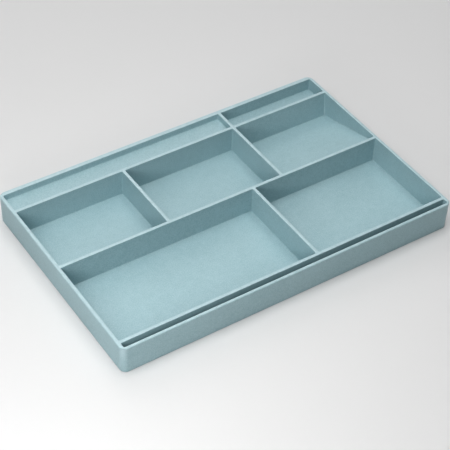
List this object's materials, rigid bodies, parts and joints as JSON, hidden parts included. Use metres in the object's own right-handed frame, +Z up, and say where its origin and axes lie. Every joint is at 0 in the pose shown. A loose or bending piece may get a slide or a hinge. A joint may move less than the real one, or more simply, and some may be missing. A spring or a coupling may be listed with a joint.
{
  "type": "drawer organizer insert",
  "caption": "Shallow rectangular desk drawer tray with fixed dividers, a raised rear shelf, a sloping bay and a narrow upright ruler slot along the front.",
  "frame": {"origin": "centre of the flat underside", "axes": "+X to the right along the long side, +Y from the ruler slot at the front to the back, +Z up out of the bays"},
  "size_m": [0.326, 0.21, 0.0275],
  "materials": {
    "tray_plastic": "fine satin moulded surface"
  },
  "bodies": {
    "root": {"left_wall": "tray_plastic", "right_wall": "tray_plastic", "front_wall": "tray_plastic", "back_wall": "tray_plastic", "ruler_slot_wall": "tray_plastic", "middle_divider": "tray_plastic", "rear_divider": "tray_plastic", "rear_cross_divider": "tray_plastic", "left_cross_divider": "tray_plastic", "right_cross_divider": "tray_plastic", "front_cross_divider": "tray_plastic", "ruler_slot_floor": "tray_plastic", "pen_bay_floor": "tray_plastic", "notes_bay_floor": "tray_plastic", "middle_left_floor": "tray_plastic", "middle_floor": "tray_plastic", "shelf_floor": "tray_plastic", "rear_right_floor": "tray_plastic", "ramp_floor": "tray_plastic"}
  },
  "joints": []
}
